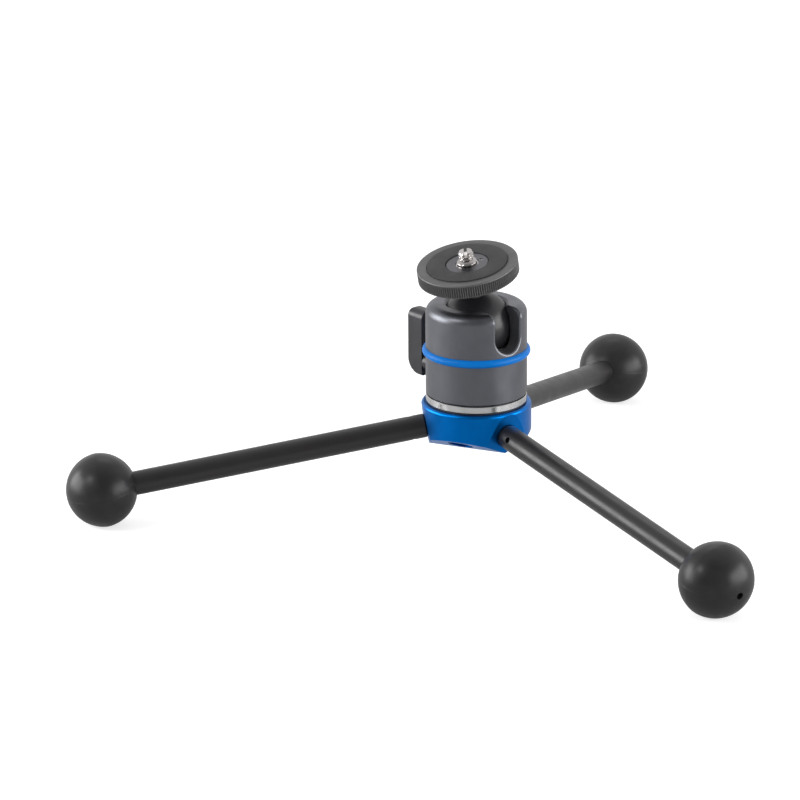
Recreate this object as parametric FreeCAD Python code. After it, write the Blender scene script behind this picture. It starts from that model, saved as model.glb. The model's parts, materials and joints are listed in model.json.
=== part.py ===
import FreeCAD, Part
import math
import os

# Mini tripod with a ball head.
# Millimetres, +Z up. The origin lies on the hub's upright axis, on the floor that the three feet stand on.
# The first leg points along -X. Azimuths are degrees from +X, seen from above, anticlockwise.

# Fits
RUNNING_CLEARANCE = 0.05
TURNING_GAP = 0.06
BALL_CLEARANCE = 0.2

# How far a cutter runs past the face that it cuts, and how near counts as on a face
OVERSHOOT = 1.0
NEAR = 0.01

# Legs
LEG_COUNT = 3
FIRST_LEG_AZIMUTH = 180.0
LEG_SLOPE = 9.54
TUBE_RADIUS = 5.0
TUBE_WALL = 1.5
TUBE_LENGTH = 142.95
TUBE_CHAMFER = 0.5
CROSS_HOLE_RADIUS = 1.25
CROSS_HOLE_FROM_END = 5.95
CROSS_HOLE_FIRST_ROLL = 18.0
CROSS_HOLE_ROLL_STEP = 50.0
LEG_THREAD_RADIUS = 4.0
LEG_THREAD_LENGTH = 9.2
LEG_SHANK_LENGTH = 11.6
STUD_CHAMFER = 0.6

# Ball feet: rubber balls pressed a little flat along the leg, from two wide caps and a rounder belt
FOOT_RADIUS = 15.45
FOOT_FLATTENING = 0.65
FOOT_BELT_ROUND = 6.5
TUBE_IN_FOOT = 20.8
FOOT_VENT_RADIUS = 1.5

# Hub
HUB_RADIUS = 22.85
HUB_ABOVE_LEGS = 6.7
HUB_BELOW_LEGS = 11.3
HUB_TOP_ROUND = 1.2
HUB_BOTTOM_CHAMFER = 0.4
FLAT_DISTANCE = 21.4
FACET_SLOPE = 27.0
FACET_REACH = 10.1
SPARE_SOCKET_OFFSET = 16.6
SOCKET_DEPTH = 10.0
SOCKET_COUNTERSINK = 0.95
SPARE_COUNTERBORE_RADIUS = 5.3
SPARE_COUNTERBORE_DEPTH = 1.5

# Stud that carries the head, and the friction pad under the head
HUB_STUD_RADIUS = 4.7625
HUB_STUD_RECESS = 1.0
HUB_STUD_SOCKET_WIDTH = 4.8
HUB_STUD_SOCKET_DEPTH = 4.0
PAD_RADIUS = 20.4
PAD_BORE_RADIUS = 5.6
PAD_THICKNESS = 0.63

# Base plate of the head
HOUSING_RADIUS = 21.0
BASE_RIM_HEIGHT = 3.26
BASE_EDGE_CHAMFER = 0.25
BASE_GROOVE_HEIGHT = 0.45
BASE_GROOVE_DEPTH = 0.6
BASE_PLUG_HEIGHT = 1.3
BASE_SCREW_COUNT = 3
BASE_SCREW_FROM_EDGE = 2.9
BASE_SCREW_FROM_SHAFT = 30.0
BASE_SCREW_RADIUS = 1.25
BASE_SCREW_HEAD_RADIUS = 2.35
BASE_SCREW_LENGTH = 8.0
BASE_SCREW_SUNK = 0.1

# Ball housing
HOUSING_HEIGHT = 38.46
HOUSING_TOP_ROUND = 4.2
HOUSING_BOTTOM_CHAMFER = 0.35
BALL_RADIUS = 15.0
BALL_BELOW_TOP = 9.75
OPENING_RADIUS = 12.4
OPENING_FLARE = 1.1
NOTCH_AZIMUTH = -55.4
NOTCH_WIDTH = 13.1
NOTCH_ROUND_BELOW_BALL = 1.2
NOTCH_EDGE_ROUND = 0.9

# Elastic ring round the housing
RING_SECTION_RADIUS = 1.7
RING_HEIGHT = 18.08
RING_PROUD = 1.4

# Clamp inside the housing
PISTON_TOP_BELOW_BALL = 11.5
SEAT_TOP_BELOW_BALL = 7.0
SHAFT_HEIGHT = 5.7
JOURNAL_RADIUS = 3.0
CAM_RADIUS = 3.6
CAM_OFFSET = 0.5
CAM_HALF_LENGTH = 12.5
JOURNAL_IN_WALL = 3.2
BUSH_RADIUS = 4.2
BUSH_PROUD = 0.3
SQUARE_END_WIDTH = 4.0

# Locking lever, measured out from the head's axis along the shaft and up or down from it
LEVER_INNER = 29.8
LEVER_THICKNESS = 9.1
LEVER_WIDTH = 8.4
LEVER_ABOVE_SHAFT = 22.3
LEVER_BELOW_SHAFT = 5.6
LEVER_TOP_ROUND = 1.8
LEVER_BOTTOM_ROUND = 6.5
LEVER_TIP_ROUND = 3.4
LEVER_EDGE_ROUND = 0.9
LEVER_BOSS_RADIUS = 4.2
LEVER_BOSS_GAP = 0.3
SQUARE_IN_LEVER = 3.8
LEVER_SCREW_RADIUS = 1.25
LEVER_SCREW_HEAD_RADIUS = 2.3
LEVER_SCREW_HEAD_HEIGHT = 2.0
LEVER_SCREW_SUNK = 0.3
LEVER_SCREW_LENGTH = 8.0
LEVER_SCREW_SOCKET_WIDTH = 2.0
LEVER_SCREW_SOCKET_DEPTH = 1.2

# Neck of the ball, with heights counted from the ball's centre along the neck
LEAN_ANGLE = 12.35
LEAN_AZIMUTH = 225.4
NECK_RADIUS = 4.8
NECK_FLARE_START = 20.4
NECK_FLARE_RADIUS = 6.2
NECK_TOP = 22.4
SPIGOT_RADIUS = 3.0
SPIGOT_LENGTH = 2.5

# Camera platform
DISC_UNDERSIDE = 22.65
DISC_THICKNESS = 6.05
DISC_SEAT_DEPTH = 1.05
BOSS_RADIUS = 8.6
BOSS_FLANGE_RADIUS = 10.6
STUD_WELL_RADIUS = 4.9
STUD_WELL_DEPTH = 3.0
SET_SCREW_RADIUS = 0.8
SET_SCREW_LENGTH = 2.4
SET_SCREW_SUNK = 0.2
SET_SCREW_OFFSET = 6.0
SET_SCREW_AZIMUTH = 12.0
SET_SCREW_SLOT_WIDTH = 0.4
SET_SCREW_SLOT_DEPTH = 0.6

# Camera stud: a threaded end on a wide plain base that stands in the boss's well
STUD_BASE_RADIUS = 4.25
STUD_BASE_PROUD = 1.0
STUD_CONE_HEIGHT = 0.9
STUD_RADIUS = 3.175
STUD_LENGTH = 3.6
STUD_TIP_CHAMFER = 0.5
STUD_SLOT_WIDTH = 1.3
STUD_SLOT_DEPTH = 1.6

# Knurled locking disc and its pad
DISC_RADIUS = 20.97
RIDGE_COUNT = 135
RIDGE_DEPTH = 0.5
SMOOTH_RIM_HEIGHT = 0.9
RIM_ROUND = 0.4
DISC_UNDERSIDE_CHAMFER = 0.7
RUBBER_OUTER_RADIUS = 16.86
RUBBER_INNER_RADIUS = 8.95
RUBBER_THICKNESS = 1.4
RUBBER_PROUD = 0.4

# Places that follow from the sizes
slope = math.radians(LEG_SLOPE)
leg_step = 360.0 / LEG_COUNT
tube_start = FLAT_DISTANCE + TURNING_GAP
tube_end = tube_start + TUBE_LENGTH
foot_half_length = FOOT_RADIUS - FOOT_FLATTENING
foot_centre = tube_end - TUBE_IN_FOOT + foot_half_length
belt_circle = FOOT_RADIUS - FOOT_BELT_ROUND
cap_inside_belt = foot_half_length - FOOT_BELT_ROUND
cap_shift = (belt_circle ** 2 - cap_inside_belt ** 2) / (2 * cap_inside_belt)
cap_radius = foot_half_length + cap_shift
belt_angle = math.atan2(cap_shift, belt_circle)
if slope > belt_angle:
    foot_drop = cap_radius - cap_shift * math.sin(slope)
else:
    foot_drop = belt_circle * math.cos(slope) + FOOT_BELT_ROUND
leg_height = foot_drop + foot_centre * math.sin(slope)
hub_top = leg_height + HUB_ABOVE_LEGS
hub_bottom = leg_height - HUB_BELOW_LEGS
base_bottom = hub_top + PAD_THICKNESS
housing_bottom = base_bottom + BASE_RIM_HEIGHT
housing_top = housing_bottom + HOUSING_HEIGHT
plug_top = housing_bottom + BASE_PLUG_HEIGHT
ball_height = housing_top - BALL_BELOW_TOP
seat_radius = BALL_RADIUS + BALL_CLEARANCE
shaft_height = housing_bottom + SHAFT_HEIGHT
lever_azimuth = NOTCH_AZIMUTH + 180.0
lever_outer = LEVER_INNER + LEVER_THICKNESS
square_end = LEVER_INNER + SQUARE_IN_LEVER
screw_head_top = lever_outer - LEVER_SCREW_SUNK
screw_head_seat = screw_head_top - LEVER_SCREW_HEAD_HEIGHT
screw_low = screw_head_seat - LEVER_SCREW_LENGTH
boss_face = HOUSING_RADIUS + BUSH_PROUD + LEVER_BOSS_GAP
disc_top = DISC_UNDERSIDE + DISC_THICKNESS
boss_bottom = NECK_TOP + TURNING_GAP
flange_top = DISC_UNDERSIDE + DISC_SEAT_DEPTH - TURNING_GAP
well_floor = disc_top - STUD_WELL_DEPTH

os.makedirs("parts", exist_ok=True)

X_AXIS = FreeCAD.Vector(1, 0, 0)
Y_AXIS = FreeCAD.Vector(0, 1, 0)
Z_AXIS = FreeCAD.Vector(0, 0, 1)
CENTRE = FreeCAD.Vector(0, 0, 0)


def at(radius, height):
    return FreeCAD.Vector(radius, 0, height)


def turned(*edges):
    """Solid of revolution about Z from the edges of a closed half profile in the XZ plane."""
    face = Part.Face(Part.Wire(Part.__sortEdges__(list(edges))))
    return face.revolve(CENTRE, Z_AXIS, 360)


def run(*corners):
    """Straight edges through a row of (radius, height) corners."""
    points = [at(*corner) for corner in corners]
    return [Part.LineSegment(a, b).toShape() for a, b in zip(points, points[1:])]


def turned_polygon(*corners):
    return turned(*run(*corners, corners[0]))


def bend(centre, radius, start, end):
    """Arc in the XZ plane about a (radius, height) centre, angles in degrees from +X towards +Z."""
    def point(angle):
        a = math.radians(angle)
        return at(centre[0] + radius * math.cos(a), centre[1] + radius * math.sin(a))
    return Part.Arc(point(start), point((start + end) / 2), point(end)).toShape()


def rod(radius, low, high):
    return Part.makeCylinder(radius, high - low, at(0, low))


def bar(radius, start, end):
    """Cylinder along +X."""
    return Part.makeCylinder(radius, end - start, at(start, 0), X_AXIS)


def block(x_low, x_high, y_low, y_high, z_low, z_high):
    corner = FreeCAD.Vector(x_low, y_low, z_low)
    return Part.makeBox(x_high - x_low, y_high - y_low, z_high - z_low, corner)


def hexagon_prism(width, low, high):
    corner = width / math.sqrt(3)
    turns = [math.radians(60 * n) for n in range(7)]
    ring = [FreeCAD.Vector(corner * math.cos(t), corner * math.sin(t), low) for t in turns]
    return Part.Face(Part.makePolygon(ring)).extrude(Z_AXIS * (high - low))


def along_leg(shape, azimuth):
    """Carries a piece made along Z from the hub's axis outwards onto a leg's sloping axis."""
    shape.rotate(CENTRE, Y_AXIS, 90 + LEG_SLOPE)
    shape.rotate(CENTRE, Z_AXIS, azimuth)
    shape.translate(at(0, leg_height))
    return shape


def along_neck(shape):
    """Carries a piece made along Z from the ball's centre onto the leaning neck."""
    shape.rotate(CENTRE, Y_AXIS, LEAN_ANGLE)
    shape.rotate(CENTRE, Z_AXIS, LEAN_AZIMUTH)
    shape.translate(at(0, ball_height))
    return shape


def along_shaft(shape):
    """Carries a piece made round X at the shaft's height onto the shaft's azimuth."""
    shape.translate(at(0, shaft_height))
    shape.rotate(CENTRE, Z_AXIS, lever_azimuth)
    return shape


def x_from_z(shape):
    """Turns a piece made along Z to lie along X."""
    shape.rotate(CENTRE, Y_AXIS, 90)
    return shape


def leg_azimuths():
    return [FIRST_LEG_AZIMUTH + leg_step * n for n in range(LEG_COUNT)]


# Leg hub
def leg_socket_cutter():
    """Socket for a leg's thread with a countersunk mouth, cut down -Z from a face at height 0."""
    bore = LEG_THREAD_RADIUS + RUNNING_CLEARANCE
    mouth = bore + SOCKET_COUNTERSINK
    return turned_polygon((0, -SOCKET_DEPTH), (bore, -SOCKET_DEPTH), (bore, -SOCKET_COUNTERSINK),
                          (mouth, 0), (mouth, SOCKET_COUNTERSINK), (0, SOCKET_COUNTERSINK))


def spare_socket_cutter():
    """The same thread below a wider counterbore, which takes the end of a tube."""
    bore = rod(LEG_THREAD_RADIUS + RUNNING_CLEARANCE, -SOCKET_DEPTH, OVERSHOOT)
    return bore.fuse(rod(SPARE_COUNTERBORE_RADIUS, -SPARE_COUNTERBORE_DEPTH, OVERSHOOT))


def leg_hub():
    inner_edge = HUB_RADIUS - HUB_TOP_ROUND
    hub = turned(*run((inner_edge, hub_top), (0, hub_top), (0, hub_bottom),
                      (HUB_RADIUS - HUB_BOTTOM_CHAMFER, hub_bottom),
                      (HUB_RADIUS, hub_bottom + HUB_BOTTOM_CHAMFER), (HUB_RADIUS, hub_top - HUB_TOP_ROUND)),
                 bend((inner_edge, hub_top - HUB_TOP_ROUND), HUB_TOP_ROUND, 0, 90))
    reach = 2 * HUB_RADIUS
    for azimuth in leg_azimuths():
        beyond_flat = block(-reach, reach, -reach, reach, FLAT_DISTANCE, FLAT_DISTANCE + reach)
        socket = leg_socket_cutter()
        socket.translate(at(0, FLAT_DISTANCE))
        hub = hub.cut(along_leg(beyond_flat, azimuth)).cut(along_leg(socket, azimuth))
        spare_azimuth = azimuth + leg_step / 2
        rise = (SPARE_SOCKET_OFFSET - FACET_REACH) * math.tan(math.radians(FACET_SLOPE))
        for tool in (block(-reach, reach, -reach, reach, 0, reach), spare_socket_cutter()):
            tool.rotate(CENTRE, Y_AXIS, 180 - FACET_SLOPE)
            tool.translate(at(SPARE_SOCKET_OFFSET, hub_bottom + rise))
            tool.rotate(CENTRE, Z_AXIS, spare_azimuth)
            hub = hub.cut(tool)
    return hub.cut(rod(HUB_STUD_RADIUS + RUNNING_CLEARANCE, hub_bottom - OVERSHOOT, hub_top + OVERSHOOT))


def hub_stud():
    low = hub_bottom + HUB_STUD_RECESS
    high = plug_top - TURNING_GAP
    end = HUB_STUD_RADIUS - STUD_CHAMFER
    stud = turned_polygon((0, low), (end, low), (HUB_STUD_RADIUS, low + STUD_CHAMFER),
                          (HUB_STUD_RADIUS, high - STUD_CHAMFER), (end, high), (0, high))
    return stud.cut(hexagon_prism(HUB_STUD_SOCKET_WIDTH, low, low + HUB_STUD_SOCKET_DEPTH))


def hub_pad():
    return rod(PAD_RADIUS, hub_top, base_bottom).cut(rod(PAD_BORE_RADIUS, hub_top, base_bottom))


# Legs
def cross_hole(number):
    """Cutter for a tube's tommy-bar hole, made along Z. Each leg comes tight at a roll of its own."""
    hole = bar(CROSS_HOLE_RADIUS, -TUBE_RADIUS - OVERSHOOT, TUBE_RADIUS + OVERSHOOT)
    hole.rotate(CENTRE, Z_AXIS, CROSS_HOLE_FIRST_ROLL + CROSS_HOLE_ROLL_STEP * (number - 1))
    hole.translate(at(0, tube_start + CROSS_HOLE_FROM_END))
    return hole


def leg_stud(number):
    inner = FLAT_DISTANCE - LEG_THREAD_LENGTH
    shank = TUBE_RADIUS - TUBE_WALL - RUNNING_CLEARANCE
    outer = tube_start + LEG_SHANK_LENGTH
    stud = turned_polygon((0, inner), (LEG_THREAD_RADIUS - STUD_CHAMFER, inner),
                          (LEG_THREAD_RADIUS, inner + STUD_CHAMFER), (LEG_THREAD_RADIUS, FLAT_DISTANCE),
                          (shank, FLAT_DISTANCE), (shank, outer - STUD_CHAMFER),
                          (shank - STUD_CHAMFER, outer), (0, outer))
    return stud.cut(cross_hole(number))


def leg_tube(number):
    bore = TUBE_RADIUS - TUBE_WALL
    tube = turned_polygon((bore, tube_start), (TUBE_RADIUS - TUBE_CHAMFER, tube_start),
                          (TUBE_RADIUS, tube_start + TUBE_CHAMFER), (TUBE_RADIUS, tube_end - TUBE_CHAMFER),
                          (TUBE_RADIUS - TUBE_CHAMFER, tube_end), (bore, tube_end))
    return tube.cut(cross_hole(number))


def ball_foot():
    """Slightly flattened rubber ball, bored for the tube, with a small vent at its far end."""
    vent_turn = math.degrees(math.acos(FOOT_VENT_RADIUS / cap_radius))
    vent_mouth = foot_centre - cap_shift + math.sqrt(cap_radius ** 2 - FOOT_VENT_RADIUS ** 2)
    socket_turn = math.degrees(math.acos(TUBE_RADIUS / cap_radius))
    socket_mouth = foot_centre + cap_shift - math.sqrt(cap_radius ** 2 - TUBE_RADIUS ** 2)
    belt = math.degrees(belt_angle)
    return turned(bend((0, foot_centre - cap_shift), cap_radius, vent_turn, belt),
                  bend((belt_circle, foot_centre), FOOT_BELT_ROUND, belt, -belt),
                  bend((0, foot_centre + cap_shift), cap_radius, -belt, -socket_turn),
                  *run((TUBE_RADIUS, socket_mouth), (TUBE_RADIUS, tube_end), (FOOT_VENT_RADIUS, tube_end),
                       (FOOT_VENT_RADIUS, vent_mouth)))


# Head
def base_screw_places():
    circle = HOUSING_RADIUS - BASE_SCREW_FROM_EDGE
    first = lever_azimuth + BASE_SCREW_FROM_SHAFT
    azimuths = [math.radians(first + 360.0 / BASE_SCREW_COUNT * n) for n in range(BASE_SCREW_COUNT)]
    return [FreeCAD.Vector(circle * math.cos(a), circle * math.sin(a), 0) for a in azimuths]


def countersunk(shank, head, low, neck, high):
    """Countersunk form with its wide end at the bottom."""
    return turned_polygon((0, low), (head, low), (shank, neck), (shank, high), (0, high))


def base_screw_cutter(top):
    shank = BASE_SCREW_RADIUS + RUNNING_CLEARANCE
    head = BASE_SCREW_HEAD_RADIUS + RUNNING_CLEARANCE
    cone_low = base_bottom + BASE_SCREW_SUNK
    cutter = countersunk(shank, head, cone_low, cone_low + head - shank, top)
    return cutter.fuse(rod(head, base_bottom - OVERSHOOT, cone_low))


def base_plate():
    edge = HOUSING_RADIUS - BASE_EDGE_CHAMFER
    groove_low = housing_bottom - BASE_GROOVE_HEIGHT
    groove_floor = HOUSING_RADIUS - BASE_GROOVE_DEPTH
    plug = seat_radius - RUNNING_CLEARANCE
    bore = HUB_STUD_RADIUS + RUNNING_CLEARANCE
    plate = turned_polygon((bore, base_bottom), (edge, base_bottom),
                           (HOUSING_RADIUS, base_bottom + BASE_EDGE_CHAMFER),
                           (HOUSING_RADIUS, groove_low - BASE_EDGE_CHAMFER), (edge, groove_low),
                           (groove_floor, groove_low), (groove_floor, housing_bottom),
                           (plug, housing_bottom), (plug, plug_top), (bore, plug_top))
    for place in base_screw_places():
        cutter = base_screw_cutter(plug_top + OVERSHOOT)
        cutter.translate(place)
        plate = plate.cut(cutter)
    return plate


def base_screws():
    low = base_bottom + BASE_SCREW_SUNK
    screws = []
    for place in base_screw_places():
        screw = countersunk(BASE_SCREW_RADIUS, BASE_SCREW_HEAD_RADIUS, low,
                            low + BASE_SCREW_HEAD_RADIUS - BASE_SCREW_RADIUS, low + BASE_SCREW_LENGTH)
        screw = screw.cut(hexagon_prism(BASE_SCREW_HEAD_RADIUS, low, low + BASE_SCREW_RADIUS))
        screw.translate(place)
        screws.append(screw)
    return Part.makeCompound(screws)


def ring_circle_radius():
    return HOUSING_RADIUS + RING_PROUD - RING_SECTION_RADIUS


def notch_cutter():
    """Slot with a round floor, cut out through the wall along +X from the head's axis."""
    half = NOTCH_WIDTH / 2
    floor_centre = ball_height - NOTCH_ROUND_BELOW_BALL
    reach = HOUSING_RADIUS + OVERSHOOT
    slot = block(0, reach, -half, half, floor_centre, housing_top + OVERSHOOT)
    round_floor = Part.makeCylinder(half, reach, at(0, floor_centre), X_AXIS)
    return slot.fuse(round_floor).removeSplitter()


def notch_outer_edges(housing):
    """Edges where the notch leaves through the housing's outer wall, below the rounded top."""
    edges = []
    for edge in housing.Edges:
        middle = edge.valueAt((edge.FirstParameter + edge.LastParameter) / 2)
        on_wall = abs(math.hypot(middle.x, middle.y) - HOUSING_RADIUS) < NEAR
        in_notch = middle.x > 0 and abs(middle.y) <= NOTCH_WIDTH / 2 + NEAR
        above_floor = ball_height - NOTCH_ROUND_BELOW_BALL - NOTCH_WIDTH / 2 - NEAR < middle.z
        if on_wall and in_notch and above_floor:
            edges.append(edge)
    return edges


def ball_housing():
    top_edge = HOUSING_RADIUS - HOUSING_TOP_ROUND
    lip_rise = math.sqrt(seat_radius ** 2 - OPENING_RADIUS ** 2)
    lip_angle = math.degrees(math.asin(lip_rise / seat_radius))
    lip = (OPENING_RADIUS, ball_height + lip_rise)
    ring_height = housing_bottom + RING_HEIGHT
    groove_radius = RING_SECTION_RADIUS + RUNNING_CLEARANCE
    groove_angle = math.degrees(math.acos((HOUSING_RADIUS - ring_circle_radius()) / groove_radius))
    groove_half = groove_radius * math.sin(math.radians(groove_angle))
    shell = turned(*run((seat_radius, ball_height), (seat_radius, housing_bottom),
                        (HOUSING_RADIUS - HOUSING_BOTTOM_CHAMFER, housing_bottom),
                        (HOUSING_RADIUS, housing_bottom + HOUSING_BOTTOM_CHAMFER),
                        (HOUSING_RADIUS, ring_height - groove_half)),
                   bend((ring_circle_radius(), ring_height), groove_radius,
                        -groove_angle, groove_angle - 360),
                   *run((HOUSING_RADIUS, ring_height + groove_half),
                        (HOUSING_RADIUS, housing_top - HOUSING_TOP_ROUND)),
                   bend((top_edge, housing_top - HOUSING_TOP_ROUND), HOUSING_TOP_ROUND, 0, 90),
                   *run((top_edge, housing_top), (OPENING_RADIUS + OPENING_FLARE, housing_top), lip),
                   bend((0, ball_height), seat_radius, lip_angle, 0))
    notched = shell.cut(notch_cutter())
    housing = notched.makeFillet(NOTCH_EDGE_ROUND, notch_outer_edges(notched)).Solids[0]
    housing.rotate(CENTRE, Z_AXIS, NOTCH_AZIMUTH)
    near_bore = bar(BUSH_RADIUS + RUNNING_CLEARANCE, 0, HOUSING_RADIUS + OVERSHOOT)
    far_bore = bar(JOURNAL_RADIUS + RUNNING_CLEARANCE, -seat_radius - JOURNAL_IN_WALL - TURNING_GAP, 0)
    housing = housing.cut(along_shaft(near_bore)).cut(along_shaft(far_bore))
    for place in base_screw_places():
        hole = rod(BASE_SCREW_RADIUS + RUNNING_CLEARANCE, housing_bottom - OVERSHOOT,
                   base_bottom + BASE_SCREW_SUNK + BASE_SCREW_LENGTH + TURNING_GAP)
        hole.translate(place)
        housing = housing.cut(hole)
    return housing


def blue_ring():
    middle = at(0, housing_bottom + RING_HEIGHT)
    return Part.makeTorus(ring_circle_radius(), RING_SECTION_RADIUS, middle, Z_AXIS)


# Clamp
def ball_recess():
    return Part.makeSphere(seat_radius, at(0, ball_height))


def clamp_piston():
    low = shaft_height + CAM_RADIUS + TURNING_GAP
    high = ball_height - PISTON_TOP_BELOW_BALL
    return rod(seat_radius - RUNNING_CLEARANCE, low, high).cut(ball_recess())


def ball_seat():
    low = ball_height - PISTON_TOP_BELOW_BALL
    high = ball_height - SEAT_TOP_BELOW_BALL
    return rod(seat_radius - RUNNING_CLEARANCE, low, high).cut(ball_recess())


def shaft_bush():
    start = seat_radius + TURNING_GAP
    end = HOUSING_RADIUS + BUSH_PROUD
    bush = bar(BUSH_RADIUS, start, end).cut(bar(JOURNAL_RADIUS + RUNNING_CLEARANCE, start, end))
    return along_shaft(bush)


def lever_shaft():
    half = SQUARE_END_WIDTH / 2
    journal = bar(JOURNAL_RADIUS, -seat_radius - JOURNAL_IN_WALL, boss_face)
    cam = bar(CAM_RADIUS, -CAM_HALF_LENGTH, CAM_HALF_LENGTH)
    cam.translate(FreeCAD.Vector(0, -CAM_OFFSET, 0))
    square = block(boss_face, square_end, -half, half, -half, half)
    shaft = journal.fuse([cam, square]).removeSplitter()
    screw_hole = bar(LEVER_SCREW_RADIUS + RUNNING_CLEARANCE, screw_low - TURNING_GAP, square_end)
    return along_shaft(shaft.cut(screw_hole))


# Locking lever
def lever_paddle():
    """Paddle with a small round above and a big one below, and a round tip when seen from outside."""
    top = LEVER_ABOVE_SHAFT
    low = -LEVER_BELOW_SHAFT
    side = [*run((LEVER_INNER, low), (LEVER_INNER, top), (lever_outer - LEVER_TOP_ROUND, top)),
            bend((lever_outer - LEVER_TOP_ROUND, top - LEVER_TOP_ROUND), LEVER_TOP_ROUND, 90, 0),
            *run((lever_outer, top - LEVER_TOP_ROUND), (lever_outer, low + LEVER_BOTTOM_ROUND)),
            bend((lever_outer - LEVER_BOTTOM_ROUND, low + LEVER_BOTTOM_ROUND), LEVER_BOTTOM_ROUND, 0, -90),
            *run((lever_outer - LEVER_BOTTOM_ROUND, low), (LEVER_INNER, low))]
    half = LEVER_WIDTH / 2
    slab = Part.Face(Part.Wire(Part.__sortEdges__(side))).extrude(FreeCAD.Vector(0, LEVER_WIDTH, 0))
    slab.translate(FreeCAD.Vector(0, -half, 0))
    front = block(LEVER_INNER - OVERSHOOT, lever_outer + OVERSHOOT, -half, half, low, top)
    tip_edges = [edge for edge in front.Edges
                 if edge.BoundBox.XLength > LEVER_THICKNESS and edge.BoundBox.ZMin > 0]
    paddle = slab.common(front.makeFillet(LEVER_TIP_ROUND, tip_edges))
    return paddle.makeFillet(LEVER_EDGE_ROUND, [edge for edge in paddle.Edges if is_rim(edge)])


def is_rim(edge):
    """True for the long upright edges between the paddle's outer face and its sides."""
    box = edge.BoundBox
    upright = box.XLength < NEAR and box.YLength < NEAR and box.ZLength > LEVER_WIDTH
    return upright and box.XMin > LEVER_INNER + NEAR


def lock_lever():
    half = SQUARE_END_WIDTH / 2 + RUNNING_CLEARANCE
    lever = lever_paddle().fuse(bar(LEVER_BOSS_RADIUS, boss_face, LEVER_INNER + OVERSHOOT)).removeSplitter()
    lever = lever.cut(block(boss_face - OVERSHOOT, square_end + RUNNING_CLEARANCE, -half, half, -half, half))
    lever = lever.cut(bar(LEVER_SCREW_RADIUS + RUNNING_CLEARANCE, square_end, screw_head_seat))
    head_hole = bar(LEVER_SCREW_HEAD_RADIUS + RUNNING_CLEARANCE, screw_head_seat, lever_outer + OVERSHOOT)
    return along_shaft(lever.cut(head_hole))


def lever_screw():
    shank = LEVER_SCREW_RADIUS
    head = LEVER_SCREW_HEAD_RADIUS
    screw = turned_polygon((0, screw_low), (shank, screw_low), (shank, screw_head_seat),
                           (head, screw_head_seat), (head, screw_head_top), (0, screw_head_top))
    socket_floor = screw_head_top - LEVER_SCREW_SOCKET_DEPTH
    socket = hexagon_prism(LEVER_SCREW_SOCKET_WIDTH, socket_floor, screw_head_top)
    return along_shaft(x_from_z(screw.cut(socket)))


# Ball and neck
def ball():
    return Part.makeSphere(BALL_RADIUS, at(0, ball_height))


def ball_neck():
    hug = BALL_RADIUS + TURNING_GAP
    spigot_top = NECK_TOP + SPIGOT_LENGTH
    neck = turned_polygon((0, 0), (NECK_RADIUS, 0), (NECK_RADIUS, NECK_FLARE_START),
                          (NECK_FLARE_RADIUS, NECK_TOP), (SPIGOT_RADIUS, NECK_TOP),
                          (SPIGOT_RADIUS, spigot_top), (0, spigot_top))
    return along_neck(neck.cut(Part.makeSphere(hug)))


# Camera platform
def platform_boss():
    bore = SPIGOT_RADIUS + RUNNING_CLEARANCE
    bore_top = NECK_TOP + SPIGOT_LENGTH + TURNING_GAP
    boss = turned_polygon((0, bore_top), (bore, bore_top), (bore, boss_bottom),
                          (NECK_FLARE_RADIUS, boss_bottom), (BOSS_FLANGE_RADIUS, flange_top),
                          (BOSS_RADIUS, flange_top), (BOSS_RADIUS, disc_top), (STUD_WELL_RADIUS, disc_top),
                          (STUD_WELL_RADIUS, well_floor), (0, well_floor))
    hole_floor = disc_top - SET_SCREW_SUNK - SET_SCREW_LENGTH
    hole = rod(SET_SCREW_RADIUS + RUNNING_CLEARANCE, hole_floor, disc_top + OVERSHOOT)
    hole.translate(set_screw_place())
    return along_neck(boss.cut(hole))


def set_screw_place():
    azimuth = math.radians(SET_SCREW_AZIMUTH - LEAN_AZIMUTH)
    return FreeCAD.Vector(SET_SCREW_OFFSET * math.cos(azimuth), SET_SCREW_OFFSET * math.sin(azimuth), 0)


def boss_set_screw():
    high = disc_top - SET_SCREW_SUNK
    half = SET_SCREW_SLOT_WIDTH / 2
    screw = rod(SET_SCREW_RADIUS, high - SET_SCREW_LENGTH, high)
    slot = block(-SET_SCREW_RADIUS, SET_SCREW_RADIUS, -half, half, high - SET_SCREW_SLOT_DEPTH, high)
    screw = screw.cut(slot)
    screw.translate(set_screw_place())
    return along_neck(screw)


def camera_stud():
    shoulder = disc_top + STUD_BASE_PROUD
    cone_top = shoulder + STUD_CONE_HEIGHT
    tip = cone_top + STUD_LENGTH
    half = STUD_SLOT_WIDTH / 2
    stud = turned_polygon((0, well_floor), (STUD_BASE_RADIUS, well_floor), (STUD_BASE_RADIUS, shoulder),
                          (STUD_RADIUS, cone_top), (STUD_RADIUS, tip - STUD_TIP_CHAMFER),
                          (STUD_RADIUS - STUD_TIP_CHAMFER, tip), (0, tip))
    slot = block(-STUD_RADIUS, STUD_RADIUS, -half, half, tip - STUD_SLOT_DEPTH, tip)
    return along_neck(stud.cut(slot))


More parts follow.
